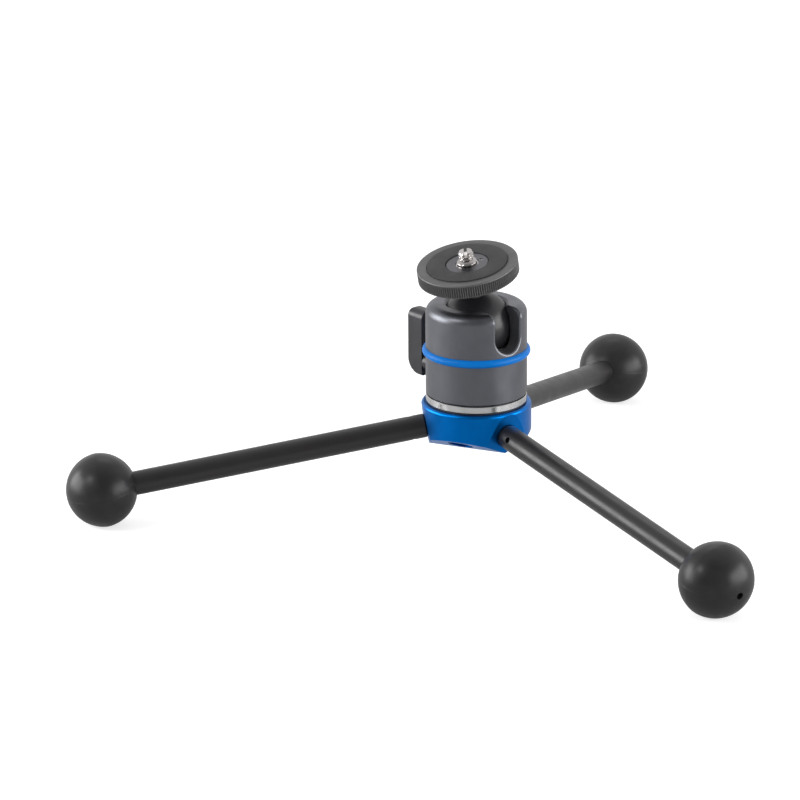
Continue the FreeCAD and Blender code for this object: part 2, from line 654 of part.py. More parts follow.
def knurled_disc():
    """Disc with straight ridges, a smooth rim, a recess for the pad and a seat for the boss's flange."""
    root = DISC_RADIUS - RIDGE_DEPTH
    knurl_low = DISC_UNDERSIDE + DISC_UNDERSIDE_CHAMFER
    knurl_high = disc_top - SMOOTH_RIM_HEIGHT
    ring = []
    for step in range(2 * RIDGE_COUNT + 1):
        angle = math.pi * step / RIDGE_COUNT
        radius = DISC_RADIUS if step % 2 else root
        ring.append(FreeCAD.Vector(radius * math.cos(angle), radius * math.sin(angle), knurl_low))
    ridges = Part.Face(Part.makePolygon(ring)).extrude(Z_AXIS * (knurl_high - knurl_low))
    rim = turned(*run((0, knurl_high), (DISC_RADIUS, knurl_high), (DISC_RADIUS, disc_top - RIM_ROUND)),
                 bend((DISC_RADIUS - RIM_ROUND, disc_top - RIM_ROUND), RIM_ROUND, 0, 90),
                 *run((DISC_RADIUS - RIM_ROUND, disc_top), (0, disc_top), (0, knurl_high)))
    under = root - DISC_UNDERSIDE_CHAMFER
    foot = turned_polygon((0, DISC_UNDERSIDE), (under, DISC_UNDERSIDE), (root, knurl_low), (0, knurl_low))
    disc = ridges.fuse([rim, foot]).removeSplitter()
    recess_floor = disc_top + RUBBER_PROUD - RUBBER_THICKNESS
    disc = disc.cut(rod(RUBBER_OUTER_RADIUS + RUNNING_CLEARANCE, recess_floor, disc_top + OVERSHOOT))
    bore = rod(BOSS_RADIUS + RUNNING_CLEARANCE, DISC_UNDERSIDE - OVERSHOOT, disc_top + OVERSHOOT)
    seat_top = DISC_UNDERSIDE + DISC_SEAT_DEPTH
    seat = rod(BOSS_FLANGE_RADIUS + RUNNING_CLEARANCE, DISC_UNDERSIDE - OVERSHOOT, seat_top)
    return along_neck(disc.cut(bore.fuse(seat)))


def rubber_pad():
    high = disc_top + RUBBER_PROUD
    low = high - RUBBER_THICKNESS
    return along_neck(rod(RUBBER_OUTER_RADIUS, low, high).cut(rod(RUBBER_INNER_RADIUS, low, high)))


pieces = {
    "leg_hub": leg_hub(),
    "hub_stud": hub_stud(),
    "hub_pad": hub_pad(),
    "base_plate": base_plate(),
    "base_screws": base_screws(),
    "ball_housing": ball_housing(),
    "blue_ring": blue_ring(),
    "clamp_piston": clamp_piston(),
    "ball_seat": ball_seat(),
    "shaft_bush": shaft_bush(),
    "lever_shaft": lever_shaft(),
    "lock_lever": lock_lever(),
    "lever_screw": lever_screw(),
    "ball": ball(),
    "ball_neck": ball_neck(),
    "platform_boss": platform_boss(),
    "boss_set_screw": boss_set_screw(),
    "camera_stud": camera_stud(),
    "knurled_disc": knurled_disc(),
    "rubber_pad": rubber_pad(),
}
for number, azimuth in enumerate(leg_azimuths(), start=1):
    pieces[f"leg_stud_{number}"] = along_leg(leg_stud(number), azimuth)
    pieces[f"leg_tube_{number}"] = along_leg(leg_tube(number), azimuth)
    pieces[f"foot_{number}"] = along_leg(ball_foot(), azimuth)

for node, shape in pieces.items():
    box = shape.BoundBox
    print(f"{node:15s} solids {len(shape.Solids)} valid {shape.isValid()} volume {shape.Volume:9.1f}"
          f" z {box.ZMin:7.2f} to {box.ZMax:7.2f}")
    shape.exportStep(f"parts/{node}.step")
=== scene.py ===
# %% [markdown]
# # A mini tripod with a ball head
#
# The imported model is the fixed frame: every solid is already in its place, in metres. This
# lesson gives each piece its real surface, and makes anew those whose detail is too fine for
# plain solids.

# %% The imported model
import json
import math

import bmesh
import bpy
from mathutils import Matrix, Vector


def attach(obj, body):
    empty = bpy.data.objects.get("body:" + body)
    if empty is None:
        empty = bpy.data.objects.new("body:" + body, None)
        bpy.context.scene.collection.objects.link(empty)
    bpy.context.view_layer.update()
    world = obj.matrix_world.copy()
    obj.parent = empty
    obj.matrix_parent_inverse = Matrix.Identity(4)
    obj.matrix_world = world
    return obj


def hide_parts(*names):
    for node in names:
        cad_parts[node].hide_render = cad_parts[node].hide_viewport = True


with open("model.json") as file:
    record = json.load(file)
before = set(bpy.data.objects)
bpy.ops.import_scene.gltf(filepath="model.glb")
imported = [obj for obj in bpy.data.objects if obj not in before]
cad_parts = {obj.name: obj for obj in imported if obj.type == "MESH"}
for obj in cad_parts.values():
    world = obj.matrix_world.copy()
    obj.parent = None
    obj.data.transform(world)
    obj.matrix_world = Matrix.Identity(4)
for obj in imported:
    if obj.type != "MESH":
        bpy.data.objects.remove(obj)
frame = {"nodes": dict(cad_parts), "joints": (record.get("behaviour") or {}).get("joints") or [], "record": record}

MM = 0.001
nodes = frame["nodes"]
joints = {joint["name"]: joint for joint in frame["joints"]}
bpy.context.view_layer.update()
scene = bpy.context.scene

# %% [markdown]
# ## The camera
#
# A long lens, a little above the tripod, looking down at it. The place and the turns were fitted
# to the rings, the feet and the outlines that the photograph shows, with the image 800 pixels
# wide.

# %% Camera
SENSOR_WIDTH = 36.0
LENS = 211.065
CAMERA_PLACE = (-0.22287, -1.83373, 0.66236)
VIEW_AZIMUTH = 84.053
LOOK_DOWN = 18.389
CAMERA_ROLL = -0.3615


def in_scene(name, data):
    """A new object that holds the data, unmoved and unturned."""
    thing = bpy.data.objects.new(name, data)
    scene.collection.objects.link(thing)
    return thing


camera_data = bpy.data.cameras.new("camera")
camera_data.sensor_width = SENSOR_WIDTH
camera_data.lens = LENS
camera_data.clip_end = 50.0
camera = in_scene("camera", camera_data)
camera.matrix_world = (Matrix.Translation(CAMERA_PLACE)
                       @ Matrix.Rotation(math.radians(VIEW_AZIMUTH - 90), 4, "Z")
                       @ Matrix.Rotation(math.radians(90 - LOOK_DOWN), 4, "X")
                       @ Matrix.Rotation(math.radians(CAMERA_ROLL), 4, "Z"))
scene.camera = camera
print("camera", [round(value, 3) for value in camera.location])

# %% [markdown]
# ## Small helpers
#
# Every material and every Geometry Nodes tree is made of nodes, so one helper adds a node, with
# its settings and its inputs. Colours are written as they look on a screen, and one helper turns
# them into the linear values that the renderer works with.


# %% Helpers for nodes and colours
def add(tree, kind, inputs=None, **settings):
    """Adds a node with its settings. A socket among its inputs is linked, and a value is set."""
    node = tree.nodes.new(kind)
    for name, value in settings.items():
        setattr(node, name, value)
    for key, value in (inputs or {}).items():
        if isinstance(value, bpy.types.NodeSocket):
            tree.links.new(value, node.inputs[key])
        else:
            node.inputs[key].default_value = value
    return node


def srgb(code):
    """A hex colour as linear red, green, blue and full opacity."""
    channels = [int(code[place:place + 2], 16) / 255 for place in (1, 3, 5)]
    return [c / 12.92 if c <= 0.04045 else ((c + 0.055) / 1.055) ** 2.4 for c in channels] + [1.0]


# %% [markdown]
# ## Measuring the solids
#
# A finish and a remade piece both need real sizes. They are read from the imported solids, along
# the axis that a piece was turned on, so that nothing has to be fitted by eye.


# %% Helpers that measure
def measure(node, origin, axis):
    """A solid's two ends along an axis, and its least and greatest distance from it, in mm."""
    middle = Vector(origin)
    line = Vector(axis).normalized()
    steps = [vertex.co - middle for vertex in nodes[node].data.vertices]
    heights = [step.dot(line) / MM for step in steps]
    radii = [(step - line * step.dot(line)).length / MM for step in steps]
    return min(heights), max(heights), min(radii), max(radii)


def leg_place(number):
    """Where a leg leaves the hub, the way it points, and a level direction across it."""
    joint = joints[f"leg_{number}_screw"]
    line = Vector(joint["axis"]).normalized()
    return Vector(joint["pos_m"]), line, Vector((0, 0, 1)).cross(line).normalized()


UPRIGHT = ((0, 0, 0), (0, 0, 1))
LEGS = (1, 2, 3)
neck_axis = (joints["platform_spin"]["pos_m"], joints["platform_spin"]["axis"])
lever_axis = (joints["lever_turn"]["pos_m"], joints["lever_turn"]["axis"])
_, head_top, _, head_radius = measure("ball_housing", *UPRIGHT)
print("the head's top at", round(head_top, 1), "mm, its radius", round(head_radius, 1), "mm")

# %% [markdown]
# ## Materials
#
# A finish starts from its colour, from how metallic it is and from how rough it is. Then it gets
# what the making left on it: the grain of blasting, the fine rings of a lathe, the lines of a
# drawn tube, a little unevenness. A picture of the surface could show these too, but patterns
# made of nodes stay sharp from near and need no file.


# %% Helpers for finishes
def start_finish(name, colour, metallic, roughness):
    """A new material with its node tree and its shader."""
    material = bpy.data.materials.new(name)
    material.use_nodes = True
    tree = material.node_tree
    tree.nodes.clear()
    shader = add(tree, "ShaderNodeBsdfPrincipled",
                 {"Base Color": srgb(colour), "Metallic": metallic, "Roughness": roughness})
    add(tree, "ShaderNodeOutputMaterial", {"Surface": shader.outputs[0]})
    print("finish", name)
    return material, tree, shader


def shader_of(material):
    """A finished material's node tree and its shader."""
    tree = material.node_tree
    return tree, next(node for node in tree.nodes if node.type == "BSDF_PRINCIPLED")


def dress(material, *names):
    """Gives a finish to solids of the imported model."""
    for name in names:
        for slot in nodes[name].material_slots:
            slot.material = material


# %% [markdown]
# A pattern is measured in millimetres on the piece itself, so it stays in place from any side.
# Where a piece was turned on a lathe, its pattern is centred on the line that it turned about.


# %% Helpers that make patterns
def along(tree, origin=(0, 0, 0), axis=(0, 0, 1)):
    """Object coordinates moved and turned so that Z runs along a piece's own axis."""
    turn = Vector(axis).to_track_quat("Z", "Y").to_euler()
    where = add(tree, "ShaderNodeTexCoord").outputs["Object"]
    return add(tree, "ShaderNodeMapping", {"Vector": where, "Location": origin, "Rotation": turn},
               vector_type="TEXTURE").outputs[0]


def from_axis(tree, place):
    """The distance from the Z axis."""
    flat = add(tree, "ShaderNodeVectorMath", {0: place, 1: (1, 1, 0)},
               operation="MULTIPLY").outputs[0]
    return add(tree, "ShaderNodeVectorMath", {0: flat}, operation="LENGTH").outputs["Value"]


def from_axis_and_height(tree, place):
    """The distance from the Z axis as X, and the height as Y."""
    height = add(tree, "ShaderNodeSeparateXYZ", {0: place}).outputs["Z"]
    return add(tree, "ShaderNodeCombineXYZ", {0: from_axis(tree, place), 1: height}).outputs[0]


def ring_marks(tree, place, pitch):
    """Marks like those of a lathe tool, which change only with radius and height."""
    both = from_axis_and_height(tree, place)
    return add(tree, "ShaderNodeTexNoise",
               {"Vector": both, "Scale": 1 / pitch, "Detail": 2.0}).outputs[0]


def speckle(tree, place, size, detail=2.0):
    """Even grain, size metres across."""
    return add(tree, "ShaderNodeTexNoise",
               {"Vector": place, "Scale": 1 / size, "Detail": detail}).outputs[0]


# %% [markdown]
# A pattern can raise the surface, change its gloss or change its colour. Most of a noise pattern
# lies between 0.3 and 0.7, so that stretch of it is spread over the whole change.

# %% Helpers that use patterns
NOISE_LOW, NOISE_HIGH = 0.3, 0.7


def raise_surface(tree, shader, pattern, height):
    """Lets a pattern stand up from the surface by a height in metres."""
    inputs = {"Height": pattern, "Distance": height, "Strength": 1.0}
    below = shader.inputs["Normal"].links
    if below:
        inputs["Normal"] = below[0].from_socket
    bump = add(tree, "ShaderNodeBump", inputs)
    tree.links.new(bump.outputs[0], shader.inputs["Normal"])


def vary_roughness(tree, shader, pattern, middle, spread):
    """Roughness below its middle value where a pattern is dark, and above it where light."""
    rough = add(tree, "ShaderNodeMapRange", {"Value": pattern, 1: NOISE_LOW, 2: NOISE_HIGH,
                                             3: middle - spread, 4: middle + spread})
    tree.links.new(rough.outputs[0], shader.inputs["Roughness"])


def two_colours(tree, shader, share, first, second):
    """Two hex colours, mixed by a share from 0 to 1."""
    blend = add(tree, "ShaderNodeMix", {0: share, 6: srgb(first), 7: srgb(second)},
                data_type="RGBA")
    tree.links.new(blend.outputs[2], shader.inputs["Base Color"])


def vary_colour(tree, shader, pattern, dark, light):
    """Colour between two hex colours, where a pattern is dark and where it is light."""
    share = add(tree, "ShaderNodeMapRange", {"Value": pattern, 1: NOISE_LOW, 2: NOISE_HIGH})
    two_colours(tree, shader, share.outputs[0], dark, light)


# %% [markdown]
# ### Anodised aluminium
#
# The hub and the head are turned from aluminium, blasted with fine beads and anodised. The dye
# lies in the oxide over bare metal, so light comes back coloured, as from metal, but soft.
# Blasting leaves an even grain of about 0.1 mm, drawn here at 0.35 mm, because a finer one would
# vanish. The tool's rings show only faintly through it.

# %% Blasted and anodised aluminium
BLAST_GRAIN = 0.35 * MM
BLAST_HEIGHT = 0.006 * MM
RING_PITCH = 0.5 * MM
RING_HEIGHT = 0.002 * MM
TONE_PATCH = 9 * MM
GLOSS_PATCH = 6 * MM
GLOSS_SPREAD = 0.03


def blasted_anodised(name, dark, light, roughness, origin=(0, 0, 0), axis=(0, 0, 1)):
    material, tree, shader = start_finish(name, light, 1.0, roughness)
    place = along(tree, origin, axis)
    vary_colour(tree, shader, speckle(tree, place, TONE_PATCH), dark, light)
    vary_roughness(tree, shader, speckle(tree, place, GLOSS_PATCH), roughness, GLOSS_SPREAD)
    raise_surface(tree, shader, speckle(tree, place, BLAST_GRAIN, 1.0), BLAST_HEIGHT)
    raise_surface(tree, shader, ring_marks(tree, place, RING_PITCH), RING_HEIGHT)
    return material


blue_metal = blasted_anodised("blue_anodised_blasted_aluminium", "#0260AA", "#0367B6", 0.36)
grey_metal = blasted_anodised("grey_anodised_blasted_aluminium", "#5F6065", "#65666B", 0.39)
platform_metal = blasted_anodised("dark_grey_anodised_turned_aluminium", "#545458", "#5A5A5E",
                                  0.38, *neck_axis)
dress(blue_metal, "leg_hub")
dress(grey_metal, "ball_housing")
dress(platform_metal, "platform_boss")

# %% [markdown]
# The notch's walls are milled and see little light. What comes back from them is scattered by
# the oxide, so under the housing's skin the same finish is only half metallic: the notch is dark
# grey there, and not black. The skin follows the turned wall, its rounded shoulder and the top.

# %% Walls of the notch
SHOULDER_ROUND = 4.2 * MM
SKIN_DEPTH = 0.25 * MM
SKIN_FADE = 0.1 * MM
METAL_INSIDE = 0.5


def scatter_inside(material, radius, top):
    """Takes half the metal from walls under the skin of a round body, measured in metres."""
    tree, shader = shader_of(material)
    out = from_axis_and_height(tree, along(tree))
    core = (radius - SHOULDER_ROUND, top - SHOULDER_ROUND, 0)
    reach = add(tree, "ShaderNodeVectorMath", {0: out, 1: core}, operation="SUBTRACT").outputs[0]
    reach = add(tree, "ShaderNodeVectorMath", {0: reach, 1: (0, 0, 0)},
                operation="MAXIMUM").outputs[0]
    reach = add(tree, "ShaderNodeVectorMath", {0: reach}, operation="LENGTH").outputs["Value"]
    skin = SHOULDER_ROUND - SKIN_DEPTH
    metal = add(tree, "ShaderNodeMapRange",
                {"Value": reach, 1: skin - SKIN_FADE, 2: skin, 3: METAL_INSIDE, 4: 1.0})
    tree.links.new(metal.outputs[0], shader.inputs["Metallic"])


scatter_inside(grey_metal, head_radius * MM, head_top * MM)
print("notch walls", METAL_INSIDE, "metallic")

# %% [markdown]
# ### Bare turned metals
#
# The piston, the shaft, the bush, the camera stud and the screws are turned or plated. They are
# bright and mirror sharply, and the marks of the tool break each reflection into fine rings.

# %% Turned metal
MARK_HEIGHT = 0.006 * MM
METAL_PATCH = 5 * MM
METAL_SPREAD = 0.04


def turned_metal(name, colour, roughness, pitch=None, origin=(0, 0, 0), axis=(0, 0, 1)):
    """Bare metal, with rings a pitch apart in metres, or with none."""
    material, tree, shader = start_finish(name, colour, 1.0, roughness)
    place = along(tree, origin, axis)
    vary_roughness(tree, shader, speckle(tree, place, METAL_PATCH), roughness, METAL_SPREAD)
    if pitch:
        raise_surface(tree, shader, ring_marks(tree, place, pitch), MARK_HEIGHT)
    return material


bush_metal = turned_metal("turned_brass", "#C9A45C", 0.25, 0.25 * MM, *lever_axis)
shaft_metal = turned_metal("turned_steel", "#B4B4B8", 0.25, 0.25 * MM, *lever_axis)
plated_metal = turned_metal("zinc_plated_steel", "#C3C6CC", 0.28, 0.3 * MM)
stainless_metal = turned_metal("turned_stainless_steel", "#ACA8A7", 0.2, 0.2 * MM, *neck_axis)
set_screw_metal = turned_metal("nickel_plated_steel", "#A6A7AA", 0.3, 0.2 * MM, *neck_axis)
dress(bush_metal, "shaft_bush")
dress(shaft_metal, "clamp_piston", "lever_shaft")
dress(plated_metal, "hub_stud")
dress(set_screw_metal, "boss_set_screw")

# %% [markdown]
# The rim under the housing belongs to the base plate. Its colour is dark, and bright like
# skimmed metal on its wall alone. The dark colour is the plate's anodising, and in the thin
# groove under the housing it is also painted shade. The lathe's rings on the wall are too fine
# to draw. They stretch each reflection up and down the wall, and anisotropy round the axis does
# the same.

# %% Skimmed rim
RIM_COLOUR = "#BCBCBC"
RIM_STRETCH = 0.9
SKIM_FROM = 0.25 * MM
SKIM_TO = 0.15 * MM


def stretch_across(material, amount):
    """Spreads reflections across lathe rings that run round the Z axis."""
    tree, shader = shader_of(material)
    shader.inputs["Anisotropic"].default_value = amount
    shader.inputs["Anisotropic Rotation"].default_value = 0.25
    rings = add(tree, "ShaderNodeTangent", direction_type="RADIAL", axis="Z")
    tree.links.new(rings.outputs[0], shader.inputs["Tangent"])


def skim_wall_and_paint_groove_shade(material, dark, bright, radius):
    """Leaves the dark colour everywhere but on the wall at a radius from the Z axis. In the groove under the
    housing, that dark colour is painted shade.
    """
    tree, shader = shader_of(material)
    wall = add(tree, "ShaderNodeMapRange", {"Value": from_axis(tree, along(tree)),
                                            1: radius - SKIM_FROM, 2: radius - SKIM_TO})
    two_colours(tree, shader, wall.outputs[0], dark, bright)


rim_metal = turned_metal("bare_turned_aluminium", RIM_COLOUR, 0.22)
stretch_across(rim_metal, RIM_STRETCH)
rim_radius = measure("base_plate", *UPRIGHT)[3]
# Dark colour off the wall: the plate's anodising, and painted shade in the groove under the housing.
skim_wall_and_paint_groove_shade(rim_metal, "#3A3B3E", RIM_COLOUR, rim_radius * MM)
dress(rim_metal, "base_plate")
print("rim skimmed at a radius of", round(rim_radius, 2), "mm")

# %% [markdown]
# ### Black metals
#
# The tubes and the lever are black anodised, and the small screws are black oxide. Black dye
# leaves hardly any colour, so what shows is the gloss: soft bands along the tubes, and a
# brighter line where an edge turns. A tube is drawn through a die, so its grain is twenty times
# as long as it is wide. The walls of a drilled hole were never polished, so the tubes' finish
# turns rough there, and their colour is painted near black there as painted shade.

# %% Black anodised and black oxide
BLACK_GLOSS = 0.4
BLACK_GRAIN = 0.4 * MM
BLACK_HEIGHT = 0.004 * MM
BLACK_PATCH = 7 * MM
BLACK_SPREAD = 0.05
TUBE_COLOUR = "#1F1D1E"
DRAWN = (1, 1, 0.05)
# Near black, painted on the drilled holes' walls as painted shade.
HOLE_PAINTED_SHADE_COLOUR = "#060606"
WALL_ROUGHNESS = 0.9
WALL_FADE = 0.1 * MM


def black_metal(name, colour, roughness, origin=(0, 0, 0), axis=(0, 0, 1), stretch=(1, 1, 1)):
    material, tree, shader = start_finish(name, colour, 0.0, roughness)
    shader.inputs["Specular IOR Level"].default_value = BLACK_GLOSS
    place = along(tree, origin, axis)
    grain = add(tree, "ShaderNodeVectorMath", {0: place, 1: stretch},
                operation="MULTIPLY").outputs[0]
    vary_roughness(tree, shader, speckle(tree, place, BLACK_PATCH), roughness, BLACK_SPREAD)
    raise_surface(tree, shader, speckle(tree, grain, BLACK_GRAIN, 1.0), BLACK_HEIGHT)
    return material


def roughen_and_paint_shade_inside(material, colour, origin, axis, radius):
    """Roughens drilled walls nearer to the axis than a radius, and paints them near black as painted shade."""
    tree, shader = shader_of(material)
    out = from_axis(tree, along(tree, origin, axis))
    skin = add(tree, "ShaderNodeMapRange",
               {"Value": out, 1: radius - WALL_FADE, 2: radius}).outputs[0]
    polished = shader.inputs["Roughness"].links[0].from_socket
    rough = add(tree, "ShaderNodeMix", {0: skin, 2: WALL_ROUGHNESS, 3: polished}).outputs[0]
    tree.links.new(rough, shader.inputs["Roughness"])
    # The near-black colour on the drilled walls is painted shade, not the tube's own colour.
    two_colours(tree, shader, skin, HOLE_PAINTED_SHADE_COLOUR, colour)


lever_metal = black_metal("black_anodised_milled_aluminium", "#26262A", 0.33)
ball_metal = black_metal("black_anodised_turned_ball", "#1C1C1F", 0.36)
screw_metal = black_metal("black_oxide_steel", "#2A2A2C", 0.35)
dress(lever_metal, "lock_lever")
dress(ball_metal, "ball", "ball_neck")
dress(screw_metal, "base_screws", "lever_screw")
for number in LEGS:
    origin, line, _ = leg_place(number)
    tube_metal = black_metal(f"black_anodised_drawn_tube_{number}", TUBE_COLOUR, 0.36,
                             origin, line, DRAWN)
    tube_radius = measure(f"leg_tube_{number}", origin, line)[3] * MM
    roughen_and_paint_shade_inside(tube_metal, TUBE_COLOUR, origin, line, tube_radius - WALL_FADE)
    dress(tube_metal, f"leg_tube_{number}")

# %% [markdown]
# ### Rubber and plastic
#
# The feet are moulded rubber: dark, matt, with the fine texture of the mould. The pad and the
# friction ring are harder. The blue ring is stretched round the housing, a smooth elastic with a
# soft shine.

# %% Rubber, elastic and acetal
MOULD_TONE = 5 * MM
MOULD_PATCH = 8 * MM
MOULD_SPREAD = 0.05


def moulded(name, dark, light, roughness, grain, depth, gloss=0.5):
    """Rubber or plastic with the grain of its mould, whose size and depth are in metres."""
    material, tree, shader = start_finish(name, light, 0.0, roughness)
    shader.inputs["Specular IOR Level"].default_value = gloss
    place = along(tree)
    vary_colour(tree, shader, speckle(tree, place, MOULD_TONE), dark, light)
    vary_roughness(tree, shader, speckle(tree, place, MOULD_PATCH), roughness, MOULD_SPREAD)
    raise_surface(tree, shader, speckle(tree, place, grain), depth)
    return material


foot_rubber = moulded("moulded_black_rubber", "#201F20", "#262526", 0.34,
                      0.5 * MM, 0.012 * MM, 0.24)
pad_rubber = moulded("hard_grey_rubber", "#303031", "#353536", 0.6, 0.4 * MM, 0.01 * MM, 0.3)
ring_elastic = moulded("blue_elastic_silicone", "#0064B2", "#006ABC", 0.33,
                       0.6 * MM, 0.004 * MM, 0.12)
seat_plastic = moulded("black_turned_acetal", "#18181A", "#1E1E20", 0.42, 0.5 * MM, 0.004 * MM)
dress(foot_rubber, "foot_1", "foot_2", "foot_3")
dress(pad_rubber, "hub_pad", "rubber_pad")
dress(ring_elastic, "blue_ring")
dress(seat_plastic, "ball_seat")

# %% [markdown]
# ## Turned pieces from a section
#
# A lathe turns a section round an axis, and so does this Geometry Nodes tree. The section is a
# closed line whose points carry a radius, a height and, between them, how much of the cut they
# take: 0 on a plain face and 1 on a knurled or threaded one. A knurl presses straight valleys
# in, and a thread cuts one valley that climbs a pitch with each turn, so the two differ only in
# how the cut changes round the piece. A thread's crest and root are a little flat, so its
# flank takes only the part of the wave between 0.07 and 0.43 of a pitch.

# %% Tree that turns a section
CREST, ROOT = 0.07, 0.43


def turning_tree(name, helical):
    tree = bpy.data.node_groups.new(name, "GeometryNodeTree")
    sockets = [("Section", "NodeSocketGeometry"), ("Steps Round", "NodeSocketInt"),
               ("Depth", "NodeSocketFloat"), ("Pitch" if helical else "Ridges", "NodeSocketFloat"),
               ("Finish", "NodeSocketMaterial")]
    for title, kind in sockets:
        tree.interface.new_socket(name=title, in_out="INPUT", socket_type=kind)
    tree.interface.new_socket(name="Piece", in_out="OUTPUT", socket_type="NodeSocketGeometry")
    given = add(tree, "NodeGroupInput").outputs

    # A flat grid has a column for each step round the piece and a row for each section point.
    count = add(tree, "GeometryNodeAttributeDomainSize", {0: given["Section"]})
    count = count.outputs["Point Count"]
    grid = add(tree, "GeometryNodeMeshGrid", {"Size X": 1.0, "Size Y": 1.0, "Vertices Y": count,
                                              "Vertices X": given["Steps Round"]}).outputs["Mesh"]
    place = add(tree, "GeometryNodeInputPosition").outputs[0]
    spot = add(tree, "ShaderNodeSeparateXYZ", {0: place}).outputs
    last = add(tree, "ShaderNodeMath", {0: count, 1: 1.0}, operation="SUBTRACT").outputs[0]
    row = add(tree, "ShaderNodeMath", {0: spot["Y"], 1: 0.5}, operation="ADD").outputs[0]
    row = add(tree, "ShaderNodeMath", {0: row, 1: last}, operation="MULTIPLY").outputs[0]
    row = add(tree, "ShaderNodeMath", {0: row}, operation="ROUND").outputs[0]

    # Each row looks up its own point of the section.
    sample = add(tree, "GeometryNodeSampleIndex", {"Geometry": given["Section"], "Index": row},
                 data_type="FLOAT_VECTOR", domain="POINT")
    tree.links.new(place, sample.inputs["Value"])
    section = add(tree, "ShaderNodeSeparateXYZ", {0: sample.outputs[0]}).outputs
    angle = add(tree, "ShaderNodeMath", {0: spot["X"], 1: 0.5}, operation="ADD").outputs[0]
    angle = add(tree, "ShaderNodeMath", {0: angle, 1: math.tau}, operation="MULTIPLY").outputs[0]

    # The cut: 0 on a crest and 1 in a valley.
    if helical:
        turns = add(tree, "ShaderNodeMath", {0: angle, 1: math.tau}, operation="DIVIDE")
        climb = add(tree, "ShaderNodeMath", {0: section["Z"], 1: given["Pitch"]},
                    operation="DIVIDE")
        phase = add(tree, "ShaderNodeMath", {0: climb.outputs[0], 1: turns.outputs[0]},
                    operation="SUBTRACT")
        wave = add(tree, "ShaderNodeMath", {0: phase.outputs[0], 1: 0.5}, operation="PINGPONG")
        valley = add(tree, "ShaderNodeMapRange", {"Value": wave.outputs[0], 1: CREST, 2: ROOT})
    else:
        wave = add(tree, "ShaderNodeMath", {0: angle, 1: given["Ridges"]}, operation="MULTIPLY")
        wave = add(tree, "ShaderNodeMath", {0: wave.outputs[0]}, operation="COSINE")
        valley = add(tree, "ShaderNodeMapRange", {"Value": wave.outputs[0], 1: 1.0, 2: -1.0})
    cut = add(tree, "ShaderNodeMath", {0: valley.outputs[0], 1: given["Depth"]},
              operation="MULTIPLY").outputs[0]
    cut = add(tree, "ShaderNodeMath", {0: cut, 1: section["Y"]}, operation="MULTIPLY").outputs[0]

    # The grid is bent round the axis, and its seam and poles are closed.
    radius = add(tree, "ShaderNodeMath", {0: section["X"], 1: cut},
                 operation="SUBTRACT").outputs[0]
    cosine = add(tree, "ShaderNodeMath", {0: angle}, operation="COSINE").outputs[0]
    sine = add(tree, "ShaderNodeMath", {0: angle}, operation="SINE").outputs[0]
    x = add(tree, "ShaderNodeMath", {0: radius, 1: cosine}, operation="MULTIPLY").outputs[0]
    y = add(tree, "ShaderNodeMath", {0: radius, 1: sine}, operation="MULTIPLY").outputs[0]
    target = add(tree, "ShaderNodeCombineXYZ", {0: x, 1: y, 2: section["Z"]}).outputs[0]
    shaped = add(tree, "GeometryNodeSetPosition", {"Geometry": grid, "Position": target})
    closed = add(tree, "GeometryNodeMergeByDistance",
                 {"Geometry": shaped.outputs[0], "Distance": 0.001 * MM})
    real = add(tree, "GeometryNodeRealizeInstances", {"Geometry": closed.outputs[0]})
    dressed = add(tree, "GeometryNodeSetMaterial",
                  {"Geometry": real.outputs[0], "Material": given["Finish"]})
    add(tree, "NodeGroupOutput", {0: dressed.outputs[0]})
    return tree


knurling = turning_tree("knurled_turning", helical=False)
threading = turning_tree("threaded_turning", helical=True)
print("trees", knurling.name, threading.name)

# %% [markdown]
# The tree runs on an object that holds nothing but the section, and what comes out is made a
# plain mesh. That mesh keeps one material slot, so that a face cut into it later wears the same
# finish. Then it is moved to its own axis, and the object stays at the origin.

# %% Helpers that run a tree
SHARP_FROM = math.radians(40)


def lathe(name, tree, section, sizes, place):
    """Turns a section of (radius, cut, height) points in mm to a plain mesh in its place."""
    line = bpy.data.meshes.new(name + "_section")
    points = [Vector((radius * MM, cut, height * MM)) for radius, cut, height in section]
    line.from_pydata(points + points[:1], [(n, n + 1) for n in range(len(points))], [])
    start = in_scene(name + "_section", line)
    modifier = start.modifiers.new("turning", "NODES")
    modifier.node_group = tree
    for item in tree.interface.items_tree:
        if item.in_out == "INPUT" and item.name in sizes:
            modifier[item.identifier] = sizes[item.name]
    turned = start.evaluated_get(bpy.context.evaluated_depsgraph_get())
    mesh = bpy.data.meshes.new_from_object(turned)
    bpy.data.objects.remove(start)
    mesh.name = name
    mesh.materials.clear()
    mesh.materials.append(sizes["Finish"])
    mesh.polygons.foreach_set("material_index", [0] * len(mesh.polygons))
    shell = bmesh.new()
    shell.from_mesh(mesh)
    bmesh.ops.dissolve_degenerate(shell, dist=0.0005 * MM, edges=shell.edges)
    bmesh.ops.recalc_face_normals(shell, faces=shell.faces)
    shell.to_mesh(mesh)
    shell.free()
    mesh.shade_smooth()
    mesh.set_sharp_from_angle(angle=SHARP_FROM)
    mesh.transform(place)
    print(name, len(mesh.polygons), "faces")
    return in_scene(name, mesh)


def plain_turned(name, section, steps, finish, place):
    """A turned piece with neither knurl nor thread."""
    return lathe(name, knurling, section,
                 {"Steps Round": steps, "Depth": 0.0, "Ridges": 1.0, "Finish": finish}, place)


def on_axis(origin, axis):
    """Where a piece turned about Z goes, when its axis is elsewhere."""
    return Matrix.Translation(origin) @ Vector(axis).to_track_quat("Z", "Y").to_matrix().to_4x4()


def rounded(radius, height, size, start, end):
    """Six points of a round edge, in degrees from straight out to straight up."""
    turns = [math.radians(start + (end - start) * n / 5) for n in range(6)]
    return [(radius + size * math.cos(turn), 0, height + size * math.sin(turn)) for turn in turns]


# %% [markdown]
# ### The knurled disc
#
# The disc under a camera is turned by its rim, so the rim is rolled with 135 straight ridges,
# with a smooth band left above them. The rolls leave rounded crests and valleys that run out at
# both ends. Its metal is rougher than the head's, from the rolling and from fingers.

